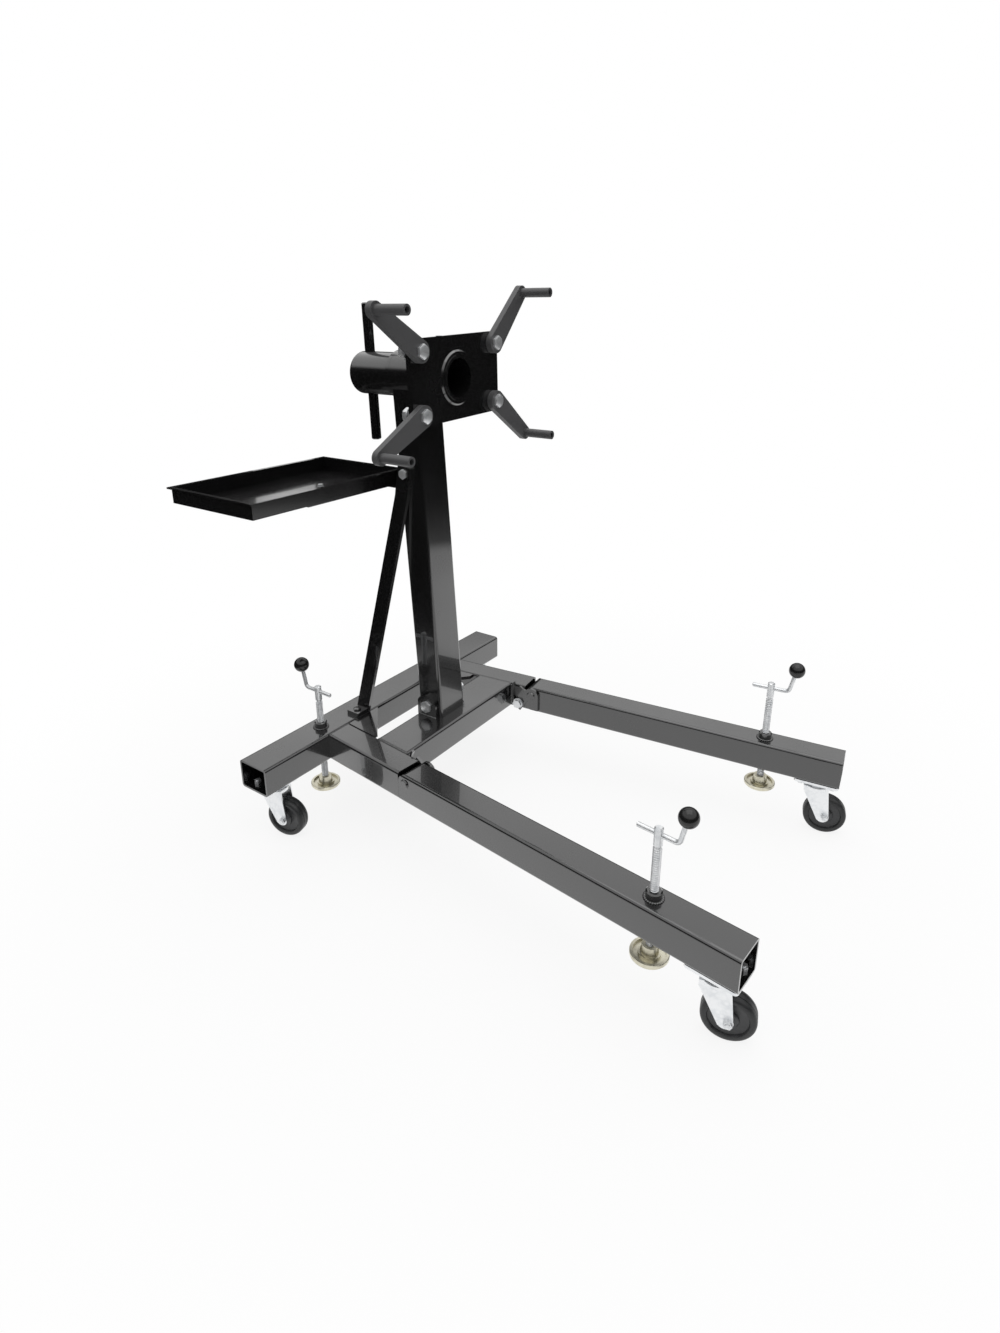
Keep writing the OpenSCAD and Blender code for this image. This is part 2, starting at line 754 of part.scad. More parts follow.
module jack_screw(dir) {
    color(zinc) {
        translate([0, 0, 6]) cylinder(d = screw_d, h = jack_len + 4);
        translate([0, 0, jack_len + 10]) cylinder(d1 = screw_d, d2 = screw_d - 4, h = 2);
        translate([-dir * crank_far, 0, jack_len]) rotate([0, dir * 90, 0])
            cylinder(d = crank_d, h = crank_far + crank_near);
        knob_frame(dir) {
            sphere(d = crank_d + 1);
            cylinder(d = crank_d, h = knob_rise - 3);
        }
    }
}

module jack_knob(dir) {
    color(rubber) knob_frame(dir) translate([0, 0, knob_rise]) difference() {
        sphere(d = knob_d);
        translate([0, 0, -knob_d]) cylinder(d = crank_d + 2 * run_fit, h = knob_d - 3);
        translate([-knob_d, -knob_d, -1.45 * knob_d]) cube([2 * knob_d, 2 * knob_d, knob_d]);
    }
}

module jack_pad() {
    color(gilt) difference() {
        union() {
            cylinder(d1 = pad_d - 3, d2 = pad_d, h = 2);
            translate([0, 0, 2]) difference() {
                cylinder(d = pad_d, h = pad_h - 3);
                translate([0, 0, 2]) cylinder(d = pad_d - 10, h = pad_h);
            }
            translate([0, 0, pad_h - 1]) difference() {
                cylinder(d1 = pad_d, d2 = pad_d - 2, h = 1);
                translate([0, 0, -1]) cylinder(d = pad_d - 10, h = 3);
            }
            translate([0, 0, 3]) cylinder(d = 36, h = pad_h - 3);
            translate([0, 0, pad_h - 1]) cylinder(d1 = 30, d2 = 25, h = socket_h + 1);
        }
        translate([0, 0, 5.9]) cylinder(d = screw_d + 2 * jack_fit, h = 40);
    }
}

module at_jack(front, side) {
    spot = front ? leg_spot(jack_s, side) : rear_spot(jack_y, side);
    placed() translate(spot + [0, 0, front ? front_pad_z : rear_pad_z])
        rotate([0, 0, front ? side * splay : 0]) children();
}

// Casters: local +X is the way the wheel trails

module at_caster(front, side) {
    spot = front ? leg_spot(caster_s, side) : rear_spot(caster_y, side);
    placed() translate(spot) rotate([0, 0, heading]) children();
}

module caster_plate() {
    color(zinc) difference() {
        union() {
            translate([0, 0, plate_z]) linear_extrude(5) round_rect(84, 56, 6);
            translate([0, 0, race_z]) cylinder(d1 = 40, d2 = 46, h = plate_z - race_z);
            translate([0, 0, crown_z - 0.4]) cylinder(d = 12, h = plate_z - crown_z + 1);
            translate([0, 0, crown_z - 3.3]) cylinder(d1 = 14, d2 = 20, h = 3);
        }
        for (i = [-1, 1], j = [-1, 1])
            translate([i * 30, j * 16.5, plate_z - 1]) cylinder(d = 8 + 2 * bolt_fit, h = 7);
    }
}

module caster_bolts() {
    color(zinc) for (i = [-1, 1], j = [-1, 1])
        translate([i * 30, j * 16.5, plate_z]) bolt(8, 5 + tube_t, false);
}

module rear_pair() {
    for (side = [-1, 1])
        placed() translate(rear_spot(caster_y, side)) rotate([0, 0, 90]) children();
}

module front_one(side) {
    placed() on_side(side) leg_frame() translate([caster_s, 0, 0]) children();
}

module fork() {
    top = crown_z + crown_t;
    back = 24;
    cheek = axle_d + 4;
    color(zinc) difference() {
        union() {
            translate([0, 0, crown_z]) linear_extrude(crown_t) {
                circle(d = 50);
                translate([-back, -fork_in - fork_t]) square([back + trail, 2 * fork_in + 2 * fork_t]);
            }
            for (side = [0, 1])
                mirror([0, side, 0]) upright(fork_in + fork_t, fork_t) {
                    polygon([[-back, top], [trail, top], [trail + 7, axle_z + 6], [trail + 7, axle_z - 2],
                        [trail - 14, axle_z - 9], [-back, top - 10]]);
                    translate([trail + 8 - cheek, axle_z - 1]) circle(cheek);
                }
        }
        translate([0, 0, crown_z - 1]) cylinder(d = 12 + 2 * run_fit, h = crown_t + 2);
        translate([trail, 2 * wheel_w, axle_z]) rotate([90, 0, 0])
            cylinder(d = axle_d + 2 * bolt_fit, h = 4 * wheel_w);
    }
}

module wheel() {
    rim = wheel_d / 2;
    core = 0.37 * rim;
    color(rubber) translate([trail, 0, axle_z]) rotate([90, 0, 0]) rotate_extrude() {
        translate([axle_d / 2 + run_fit, -fork_in + 0.3])
            square([core - axle_d / 2 - run_fit, 2 * fork_in - 0.6]);
        translate([core - 1, -wheel_w / 2 + 5]) square([0.75 * rim - core + 2, wheel_w - 10]);
        translate([0.75 * rim, -wheel_w / 2]) square([0.25 * rim - tread_r, wheel_w]);
        translate([0.75 * rim, tread_r - wheel_w / 2]) square([0.25 * rim, wheel_w - 2 * tread_r]);
        for (up = [-1, 1])
            translate([rim - tread_r, up * (wheel_w / 2 - tread_r)]) circle(tread_r);
    }
}

module axle() {
    out = fork_in + fork_t;
    color(zinc) translate([trail, out, axle_z]) rotate([90, 0, 0]) bolt(axle_d, 2 * out, false);
}

rear_beam();
stub(1);  // stub_left
stub(-1);  // stub_right
cross_tube();
corner_gussets();
mast();
mast_foot_bolt();
brace(1);  // brace_left
brace(-1);  // brace_right
brace_bolts();
sleeve();
lock_screw();
tray_bracket();
tray();
tray_ends();
tray_bolts();
leg(1);  // leg_left
leg(-1);  // leg_right
leg_pivots();
clamp_bolts();
spindle();
face_plate();
thrust_washer();
retaining_collar();
handle_bar();
arm_bolts();
arm(1, 1, upper_left_set);  // arm_upper_left
arm(-1, 1, upper_right_set);  // arm_upper_right
arm(1, -1, lower_left_set);  // arm_lower_left
arm(-1, -1, lower_right_set);  // arm_lower_right
at_jack(false, 1) jack_screw(-1);  // jack_screw_rear_left
at_jack(false, -1) jack_screw(-1);  // jack_screw_rear_right
at_jack(true, 1) jack_screw(1);  // jack_screw_front_left
at_jack(true, -1) jack_screw(1);  // jack_screw_front_right
at_jack(false, 1) jack_knob(-1);  // jack_knob_rear_left
at_jack(false, -1) jack_knob(-1);  // jack_knob_rear_right
at_jack(true, 1) jack_knob(1);  // jack_knob_front_left
at_jack(true, -1) jack_knob(1);  // jack_knob_front_right
at_jack(false, 1) jack_pad();  // jack_pad_rear_left
at_jack(false, -1) jack_pad();  // jack_pad_rear_right
at_jack(true, 1) jack_pad();  // jack_pad_front_left
at_jack(true, -1) jack_pad();  // jack_pad_front_right
rear_pair() caster_plate();  // rear_caster_plates
front_one(1) caster_plate();  // caster_plate_front_left
front_one(-1) caster_plate();  // caster_plate_front_right
rear_pair() caster_bolts();  // rear_caster_bolts
front_one(1) caster_bolts();  // caster_bolts_front_left
front_one(-1) caster_bolts();  // caster_bolts_front_right
at_caster(false, 1) fork();  // fork_rear_left
at_caster(false, -1) fork();  // fork_rear_right
at_caster(true, 1) fork();  // fork_front_left
at_caster(true, -1) fork();  // fork_front_right
at_caster(false, 1) wheel();  // wheel_rear_left
at_caster(false, -1) wheel();  // wheel_rear_right
at_caster(true, 1) wheel();  // wheel_front_left
at_caster(true, -1) wheel();  // wheel_front_right
at_caster(false, 1) axle();  // axle_rear_left
at_caster(false, -1) axle();  // axle_rear_right
at_caster(true, 1) axle();  // axle_front_left
at_caster(true, -1) axle();  // axle_front_right
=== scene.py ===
import bpy
import math
from mathutils import Matrix, Vector


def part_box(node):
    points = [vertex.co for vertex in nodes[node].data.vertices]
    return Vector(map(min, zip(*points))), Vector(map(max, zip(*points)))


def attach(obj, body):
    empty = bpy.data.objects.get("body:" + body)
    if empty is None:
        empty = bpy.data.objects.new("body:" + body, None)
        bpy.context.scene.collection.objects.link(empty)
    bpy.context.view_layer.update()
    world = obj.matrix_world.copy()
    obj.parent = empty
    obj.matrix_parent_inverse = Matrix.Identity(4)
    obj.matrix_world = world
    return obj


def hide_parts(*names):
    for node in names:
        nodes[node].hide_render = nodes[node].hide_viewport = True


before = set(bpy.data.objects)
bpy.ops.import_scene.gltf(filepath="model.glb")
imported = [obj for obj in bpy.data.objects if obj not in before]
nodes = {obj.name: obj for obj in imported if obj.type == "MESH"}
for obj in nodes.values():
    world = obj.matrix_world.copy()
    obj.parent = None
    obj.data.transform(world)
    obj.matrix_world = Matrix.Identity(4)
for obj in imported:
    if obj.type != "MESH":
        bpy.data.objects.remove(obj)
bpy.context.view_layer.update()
scene = bpy.context.scene
print("frame loaded:", len(nodes), "nodes")

# camera: place, turn and lens of the photograph

cameraSetup = {
    "place": (0.7301, -1.1822, 1.0155),
    "pitch": 18.89,  # degrees down
    "yaw": 124.54,
    "focal": 770.2,  # in pixels of the picture
    "middle": (501.45, 574.15),
    "picture": (1000, 1333),
    "sensor": 36.0,
    "nearest": 0.05,
}


def makeCamera(setup):
    wide, high = setup["picture"]
    data = bpy.data.cameras.new("standCamera")
    data.sensor_fit = "VERTICAL"
    data.sensor_height = setup["sensor"]
    data.lens = setup["focal"] / high * setup["sensor"]
    data.shift_x = (wide / 2 - setup["middle"][0]) / high
    data.shift_y = (setup["middle"][1] - high / 2) / high
    data.clip_start = setup["nearest"]
    camera = bpy.data.objects.new("standCamera", data)
    camera.location = setup["place"]
    camera.rotation_euler = (math.radians(90 - setup["pitch"]), 0, math.radians(setup["yaw"] - 90))
    scene.collection.objects.link(camera)
    scene.camera = camera


makeCamera(cameraSetup)
scene.view_settings.view_transform = "Standard"
print("camera set")

# node helpers


def link(tree, source, target):
    tree.links.new(source, target)


def addNode(tree, kind, **settings):
    node = tree.nodes.new(kind)
    for key, value in settings.items():
        setattr(node, key, value)
    return node


def feed(tree, socket, value):
    if hasattr(value, "links"):
        link(tree, value, socket)
    else:
        socket.default_value = value


def mathNode(tree, operation, first, second):
    node = addNode(tree, "ShaderNodeMath", operation=operation)
    feed(tree, node.inputs[0], first)
    feed(tree, node.inputs[1], second)
    return node.outputs[0]


def rangeNode(tree, value, low, high, toLow=0.0, toHigh=1.0, kind="SMOOTHSTEP"):
    node = addNode(tree, "ShaderNodeMapRange", interpolation_type=kind)
    numbers = {"Value": value, "From Min": low, "From Max": high, "To Min": toLow, "To Max": toHigh}
    for label, number in numbers.items():
        feed(tree, node.inputs[label], number)
    return node.outputs["Result"]


def noiseNode(tree, coords, scale, detail, rough):
    node = addNode(tree, "ShaderNodeTexNoise")
    for label, value in {"Vector": coords, "Scale": scale, "Detail": detail, "Roughness": rough}.items():
        feed(tree, node.inputs[label], value)
    return node.outputs["Fac"]


def mixColors(tree, factor, first, second):
    node = addNode(tree, "ShaderNodeMix", data_type="RGBA")
    for index, value in ((0, factor), (6, first), (7, second)):  # the colour sockets of a mix node
        feed(tree, node.inputs[index], value)
    return node.outputs[2]


def mixShaders(tree, factor, first, second):
    node = addNode(tree, "ShaderNodeMixShader")
    for socket, value in zip(node.inputs, (factor, first, second)):
        feed(tree, socket, value)
    return node.outputs[0]


surfaceOutputs = [("Color", "NodeSocketColor"), ("Roughness", "NodeSocketFloat"), ("Height", "NodeSocketFloat")]


def newGroup(name, colors, values):
    group = bpy.data.node_groups.new(name, "ShaderNodeTree")
    for label in colors:
        group.interface.new_socket(name=label, in_out="INPUT", socket_type="NodeSocketColor")
    for label in values:
        group.interface.new_socket(name=label, in_out="INPUT", socket_type="NodeSocketFloat")
    for label, kind in surfaceOutputs:
        group.interface.new_socket(name=label, in_out="OUTPUT", socket_type=kind)
    coords = addNode(group, "ShaderNodeTexCoord").outputs["Object"]
    given = group.nodes.new("NodeGroupInput").outputs
    put = group.nodes.new("NodeGroupOutput").inputs
    return group, given, put, coords


# enamel: orange peel, uneven gloss and a trace of dust on what faces up

enamelLook = {
    "cloud": (7.0, 4.0, 0.6),  # a noise's scale, detail and roughness
    "speck": (320.0, 2.0, 0.6),
    "peel": (150.0, 1.5, 0.4),
    "upward": (0.3, 0.95),
    "patches": (0.4, 0.75),
    "specks": (0.35, 0.8),
    "uneven": (0.3, 0.7, -0.05, 0.07),
    "dustTone": (0.34, 0.33, 0.31, 1),
    "dustRough": 0.8,
}


def makeEnamelGroup(look):
    group, given, put, coords = newGroup("enamelSurface", ["Paint"], ["Dust", "Rough", "Peel"])
    cloud = noiseNode(group, coords, *look["cloud"])
    speck = noiseNode(group, coords, *look["speck"])
    peel = noiseNode(group, coords, *look["peel"])
    facing = addNode(group, "ShaderNodeSeparateXYZ")
    link(group, addNode(group, "ShaderNodeNewGeometry").outputs["Normal"], facing.inputs[0])
    upward = rangeNode(group, facing.outputs["Z"], *look["upward"])
    patches = rangeNode(group, cloud, *look["patches"])
    settled = mathNode(group, "MULTIPLY", patches, rangeNode(group, speck, *look["specks"]))
    dust = mathNode(group, "MULTIPLY", mathNode(group, "MULTIPLY", settled, upward), given["Dust"])
    link(group, mixColors(group, dust, given["Paint"], look["dustTone"]), put["Color"])
    uneven = rangeNode(group, cloud, *look["uneven"], "LINEAR")
    rough = mathNode(group, "ADD", given["Rough"], uneven)
    link(group, mathNode(group, "ADD", rough, mathNode(group, "MULTIPLY", dust, look["dustRough"])), put["Roughness"])
    link(group, mathNode(group, "MULTIPLY", peel, given["Peel"]), put["Height"])
    return group


# zinc plate: dull patches on bright metal

zincLook = {
    "cells": 130.0,
    "cloud": (45.0, 5.0, 0.65),
    "fine": (900.0, 2.0, 0.6),
    "spots": (0.1, 0.7),
    "patches": (0.35, 0.7),
    "uneven": (0.3, 0.7, -0.06, 0.08),
    "mottleHeight": 0.5,
}


def makeZincGroup(look):
    group, given, put, coords = newGroup("zincSurface", ["Bright", "Dull"], ["Rough"])
    cells = addNode(group, "ShaderNodeTexVoronoi")
    link(group, coords, cells.inputs["Vector"])
    cells.inputs["Scale"].default_value = look["cells"]
    cloud = noiseNode(group, coords, *look["cloud"])
    fine = noiseNode(group, coords, *look["fine"])
    spots = rangeNode(group, cells.outputs["Distance"], *look["spots"])
    mottle = mathNode(group, "MULTIPLY", rangeNode(group, cloud, *look["patches"]), spots)
    link(group, mixColors(group, mottle, given["Bright"], given["Dull"]), put["Color"])
    uneven = rangeNode(group, fine, *look["uneven"], "LINEAR")
    link(group, mathNode(group, "ADD", given["Rough"], uneven), put["Roughness"])
    raised = mathNode(group, "MULTIPLY", mottle, look["mottleHeight"])
    link(group, mathNode(group, "ADD", fine, raised), put["Height"])
    return group


# moulded rubber and plastic: grain and scuffs

mouldedLook = {
    "cloud": (60.0, 5.0, 0.65),
    "grain": (700.0, 2.0, 0.6),
    "scuffs": (0.52, 0.8),
    "scuffRough": 0.3,
}


def makeMouldedGroup(look):
    group, given, put, coords = newGroup("mouldedSurface", ["Dark", "Worn"], ["Rough", "Scuff"])
    cloud = noiseNode(group, coords, *look["cloud"])
    grain = noiseNode(group, coords, *look["grain"])
    scuff = mathNode(group, "MULTIPLY", rangeNode(group, cloud, *look["scuffs"]), given["Scuff"])
    link(group, mixColors(group, scuff, given["Dark"], given["Worn"]), put["Color"])
    rough = mathNode(group, "ADD", given["Rough"], mathNode(group, "MULTIPLY", scuff, look["scuffRough"]))
    link(group, rough, put["Roughness"])
    link(group, grain, put["Height"])
    return group


surfaceGroups = {
    "enamel": makeEnamelGroup(enamelLook),
    "zinc": makeZincGroup(zincLook),
    "moulded": makeMouldedGroup(mouldedLook),
}

# finishes: the group's values, then the shader's own

glossCoat = {"IOR": 1.62, "Coat Weight": 1.0, "Coat Roughness": 0.03, "Coat IOR": 1.62}
thinCoat = {"IOR": 1.5, "Coat Weight": 0.6, "Coat Roughness": 0.06}
finishes = {
    "blackEnamel": {
        "group": "enamel", "shader": glossCoat, "bump": 0.00012,
        "given": {"Paint": (0.006, 0.006, 0.0063, 1), "Dust": 0.03, "Rough": 0.22, "Peel": 0.5},
    },
    "trayEnamel": {
        "group": "enamel", "shader": thinCoat, "bump": 0.00015,
        "given": {"Paint": (0.006, 0.006, 0.0063, 1), "Dust": 0.01, "Rough": 0.2, "Peel": 0.4},
    },
    # arms: the grey base, lighter than the other black paint, is painted sheen for the light the satin arms catch; the
    # higher roughness is the satin itself
    "armEnamelPaintedSheen": {
        "group": "enamel", "shader": {"IOR": 1.5}, "bump": 0.0002,
        "given": {"Paint": (0.08, 0.08, 0.082, 1), "Dust": 0.08, "Rough": 0.42, "Peel": 0.8},
    },
    "brightZinc": {
        "group": "zinc", "shader": {"Metallic": 0.75}, "bump": 0.00004,
        "given": {"Bright": (0.84, 0.85, 0.86, 1), "Dull": (0.66, 0.68, 0.70, 1), "Rough": 0.36},
    },
    "casterZinc": {
        "group": "zinc", "shader": {"Metallic": 1.0}, "bump": 0.00004,
        "given": {"Bright": (0.90, 0.91, 0.92, 1), "Dull": (0.76, 0.78, 0.80, 1), "Rough": 0.34},
    },
    "yellowZinc": {
        "group": "zinc", "shader": {"Metallic": 1.0}, "bump": 0.00005,
        "given": {"Bright": (0.72, 0.69, 0.56, 1), "Dull": (0.55, 0.52, 0.42, 1), "Rough": 0.34},
    },
    "knobPlastic": {
        "group": "moulded", "shader": {"IOR": 1.5}, "bump": 0.00003,
        "given": {"Dark": (0.012, 0.012, 0.012, 1), "Worn": (0.06, 0.06, 0.06, 1), "Rough": 0.18, "Scuff": 0.15},
    },
    "hubNylon": {
        "group": "moulded", "shader": {"IOR": 1.5}, "bump": 0.00005,
        "given": {"Dark": (0.035, 0.036, 0.038, 1), "Worn": (0.12, 0.12, 0.12, 1), "Rough": 0.35, "Scuff": 0.3},
    },
    "wheelRubber": {
        "group": "moulded", "shader": {"IOR": 1.5}, "bump": 0.00008,
        "given": {"Dark": (0.014, 0.015, 0.016, 1), "Worn": (0.09, 0.09, 0.09, 1), "Rough": 0.42, "Scuff": 0.35},
    },
}
bumpStrength = 0.6


def makeFinish(name, setup):
    material = bpy.data.materials.new(name)
    material.use_nodes = True
    material.diffuse_color = next(iter(setup["given"].values()))
    tree = material.node_tree
    shader = tree.nodes["Principled BSDF"]
    surface = addNode(tree, "ShaderNodeGroup", node_tree=surfaceGroups[setup["group"]])
    for label, value in setup["given"].items():
        surface.inputs[label].default_value = value
    for label, value in setup["shader"].items():
        shader.inputs[label].default_value = value
    bump = addNode(tree, "ShaderNodeBump")
    bump.inputs["Distance"].default_value = setup["bump"]
    bump.inputs["Strength"].default_value = bumpStrength
    link(tree, surface.outputs["Color"], shader.inputs["Base Color"])
    link(tree, surface.outputs["Roughness"], shader.inputs["Roughness"])
    link(tree, surface.outputs["Height"], bump.inputs["Height"])
    link(tree, bump.outputs["Normal"], shader.inputs["Normal"])
    return material


finish = {name: makeFinish(name, setup) for name, setup in finishes.items()}

# which nodes take which finish; the first match counts, and the rest is black enamel

finishStarts = {
    "brightZinc": ("tray_bolts", "arm_bolts", "mast_foot_bolt", "brace_bolts", "lock_screw", "clamp_bolts",
                   "thrust_washer", "jack_screw", "axle_", "caster_bolts", "rear_caster_bolts"),
    "casterZinc": ("fork_", "caster_plate", "rear_caster_plates"),
    "blackEnamel": ("tray_bracket",),
    "trayEnamel": ("tray",),
    # the arms take the black enamel with painted sheen in its grey base
    "armEnamelPaintedSheen": ("arm_",),
    "yellowZinc": ("jack_pad",),
    "knobPlastic": ("jack_knob",),
    "wheelRubber": ("wheel_",),
}


def finishOf(node):
    for name, starts in finishStarts.items():
        if node.startswith(starts):
            return finish[name]
    return finish["blackEnamel"]


for name, piece in nodes.items():
    piece.data.materials.clear()
    piece.data.materials.append(finishOf(name))
print("finishes set:", len(finish))

# modelling helpers: a piece is drawn in millimetres about the origin and scaled when it is placed

mm = 0.001
weldGap = 0.001  # points closer than this become one
fullTurn = 2 * math.pi
smoothAngle = math.radians(35)
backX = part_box("rear_beam")[0].x  # the CAD measures from the back of the rear beam


def pickOnly(*pieces):
    bpy.ops.object.select_all(action="DESELECT")
    for piece in pieces:
        piece.select_set(True)
    bpy.context.view_layer.objects.active = pieces[0]


def editAll():
    bpy.ops.object.mode_set(mode="EDIT")
    bpy.ops.mesh.select_all(action="SELECT")


def closeUp():
    bpy.ops.mesh.select_all(action="SELECT")
    bpy.ops.mesh.remove_doubles(threshold=weldGap)
    bpy.ops.mesh.normals_make_consistent(inside=False)
    bpy.ops.object.mode_set(mode="OBJECT")


def drawLine(points):
    bpy.ops.object.select_all(action="DESELECT")
    bpy.ops.mesh.primitive_plane_add(size=1)
    piece = bpy.context.object
    editAll()
    bpy.ops.mesh.merge(type="CENTER")
    bpy.ops.transform.translate(value=points[0])
    for before, after in zip(points, points[1:]):
        step = Vector(after) - Vector(before)
        bpy.ops.mesh.extrude_vertices_move(TRANSFORM_OT_translate={"value": step})
    bpy.ops.mesh.select_all(action="SELECT")
    return piece


def lathe(outline, steps=40):
    piece = drawLine([(r, 0, z) for r, z in outline])
    bpy.ops.mesh.spin(steps=steps, angle=fullTurn, center=(0, 0, 0), axis=(0, 0, 1))
    closeUp()
    return piece


def applyAll(piece):
    pickOnly(piece)
    for modifier in list(piece.modifiers):
        bpy.ops.object.modifier_apply(modifier=modifier.name)


threadShape = {"depth": 0.55, "crestFrom": 0.4, "crestTo": 0.6, "steps": 20}  # lengths in pitches


def thread(radius, pitch, low, high):
    root = radius - threadShape["depth"] * pitch
    piece = drawLine([
        (root, 0, low),
        (radius, 0, low + threadShape["crestFrom"] * pitch),
        (radius, 0, low + threadShape["crestTo"] * pitch),
        (root, 0, low + pitch),
    ])
    bpy.ops.object.mode_set(mode="OBJECT")
    turns = piece.modifiers.new("turns", "SCREW")
    turns.angle, turns.screw_offset = fullTurn, pitch
    turns.iterations = max(1, round((high - low) / pitch) - 1)
    turns.steps = turns.render_steps = threadShape["steps"]
    applyAll(piece)
    editAll()
    bpy.ops.mesh.remove_doubles(threshold=weldGap)
    bpy.ops.mesh.select_all(action="SELECT")
    bpy.ops.mesh.fill_holes(sides=0)
    bpy.ops.mesh.select_all(action="SELECT")
    bpy.ops.mesh.quads_convert_to_tris()
    closeUp()
    return piece


hexShape = {
    "flat": 0.475, "drop": 0.06, "corner": 0.58, "clear": 0.6,  # of the width across flats
    "under": 1.0,  # how far the cutter goes past a plain end
    "steps": 36,
}


def hexBlock(across, low, high, bothEnds=False):
    flat, drop = hexShape["flat"] * across, hexShape["drop"] * across
    corner, clear = hexShape["corner"] * across, hexShape["clear"] * across
    bpy.ops.object.select_all(action="DESELECT")
    bpy.ops.mesh.primitive_cylinder_add(
        vertices=6, radius=across / math.sqrt(3), depth=high - low, location=(0, 0, (low + high) / 2))
    block = bpy.context.object
    under = low - hexShape["under"]
    foot = [(0, low), (flat, low), (corner, low + drop)] if bothEnds else [(0, under), (clear, under)]
    cutter = lathe(foot + [(corner, high - drop), (flat, high), (0, high)], hexShape["steps"])
    trim = block.modifiers.new("trim", "BOOLEAN")
    trim.operation, trim.object = "INTERSECT", cutter
    applyAll(block)
    bpy.data.objects.remove(cutter)
    return block


washerEdge = 0.15  # of its thickness


def washer(outer, inner, low, high):
    edge = washerEdge * (high - low)
    return lathe([
        (inner, low), (outer - edge, low), (outer, low + edge), (outer, high - edge),
        (outer - edge, high), (inner, high), (inner, low),
    ])


def joined(*pieces):
    pickOnly(*pieces)
    bpy.ops.object.join()
    return bpy.context.object


def placed(master, name, turn, place):
    copy = master.copy()
    copy.data = master.data.copy()
    copy.name = copy.data.name = name
    scene.collection.objects.link(copy)
    copy.matrix_world = Matrix.Translation(Vector(place)) @ turn.to_4x4() @ Matrix.Diagonal((mm, mm, mm, 1))
    pickOnly(copy)
    bpy.ops.object.transform_apply(location=True, rotation=True, scale=True)
    return copy


def finished(piece, name, body, look, recordSlot, *stood):
    piece.name = piece.data.name = name
    piece.data.materials.clear()
    piece.data.materials.append(finish[look])
    pickOnly(piece)
    bpy.ops.object.shade_smooth_by_angle(angle=smoothAngle)
    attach(piece, body)
    if stood:
        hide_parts(*stood)


def alongAxis(axis):
    return Vector(axis).to_track_quat("Z", "Y").to_matrix()


def fromBack(x, y, z):
    return Vector((backX + x * mm, y * mm, z * mm))


def middleOf(node):
    low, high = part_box(node)
    return (low + high) / 2


corners = [(end, side) for end in ("rear", "front") for side in ("left", "right")]

# jack screws: rolled thread, plain neck and a bent crank rod

jackScrew = {
    "radius": 7.0, "core": 5.0, "pitch": 4.0,
    "low": 6.0, "neck": 205.0, "top": 236.0, "chamfer": 2.0,
    "crank": 224.0, "rod": 4.0, "rodEdge": 0.8, "near": 34.0, "far": 36.0,
    "slant": 12.0, "bend": 9.0, "rise": 47.0,
    "rodSides": 20, "bendSteps": 10,
    "threadFrom": 0.5, "threadTo": 1.0,  # distance of the thread from the stem's ends
}


def growEnd(step, ratio=1.0):
    bpy.ops.mesh.extrude_region_move(TRANSFORM_OT_translate={"value": step})
    if ratio != 1.0:
        bpy.ops.transform.resize(value=(ratio, ratio, ratio))


def makeCrankRod(s):
    edge, height = s["rodEdge"], s["crank"]
    bpy.ops.object.select_all(action="DESELECT")
    bpy.ops.mesh.primitive_circle_add(
        vertices=s["rodSides"], radius=s["rod"] - edge, fill_type="NGON",
        location=(-s["far"], 0, height), rotation=(0, math.pi / 2, 0))
    rod = bpy.context.object
    bpy.ops.object.transform_apply(location=True, rotation=True, scale=True)
    slant = math.radians(s["slant"])
    angle = math.pi / 2 - slant
    cut = s["bend"] * math.tan(angle / 2)  # what the bend takes off each straight
    editAll()
    growEnd((edge, 0, 0), s["rod"] / (s["rod"] - edge))
    growEnd((s["far"] + s["near"] - cut - edge, 0, 0))
    bpy.ops.mesh.spin(
        steps=s["bendSteps"], angle=angle, center=(s["near"] - cut, 0, height + s["bend"]), axis=(0, 1, 0))
    growEnd(Vector((math.sin(slant), 0, math.cos(slant))) * (s["rise"] - cut))
    closeUp()
    return rod


def makeJackScrew(s):
    radius, core, edge = s["radius"], s["core"], s["chamfer"]
    stem = lathe([
        (0, s["low"]), (core, s["low"]), (core, s["neck"] - edge), (radius, s["neck"]),
        (radius, s["top"] - edge), (radius - edge, s["top"]), (0, s["top"]),
    ])
    rolled = thread(radius, s["pitch"], s["low"] + s["threadFrom"], s["neck"] - s["threadTo"])
    return joined(stem, rolled, makeCrankRod(s))


master = makeJackScrew(jackScrew)
for end, side in corners:
    padMiddle = middleOf(f"jack_pad_{end}_{side}")
    reach = middleOf(f"jack_knob_{end}_{side}") - padMiddle
    turn = Matrix.Rotation(math.atan2(reach.y, reach.x), 3, "Z")
    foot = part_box(f"jack_pad_{end}_{side}")[0].z
    piece = placed(master, "jackScrew", turn, (padMiddle.x, padMiddle.y, foot))
    finished(piece, f"jackScrew.{end}.{side}", f"{end}_{side}_screw", "brightZinc", "zinc_plate",
             f"jack_screw_{end}_{side}")
bpy.data.objects.remove(master)
print("jack screws made")

# caster wheels: rounded tyre with two grooves on a stepped hub

casterWheel = {
    "half": [  # radius and half width, from the bore outwards
        (4.2, 14.2), (4.7, 14.7), (9.2, 14.7), (10.0, 13.9), (13.4, 13.9), (15.2, 12.4), (15.8, 9.2),
        (16.8, 8.5), (28.4, 8.5), (29.6, 9.2), (30.2, 12.2), (31.2, 13.2), (33.5, 13.5), (36.5, 13.2),
        (38.9, 11.9), (40.3, 9.8), (40.9, 7.4), (41.0, 5.2), (40.2, 4.8), (40.2, 4.0), (41.0, 3.6),
    ],
    "steps": 64,
    "heading": 15.0,  # degrees, as the CAD's casters stand
    "hubTo": 32.3,  # distance from the middle where the tyre starts
}


def makeWheel(s):
    other = [(r, -z) for r, z in reversed(s["half"])]
    return lathe(s["half"] + other + s["half"][:1], s["steps"])


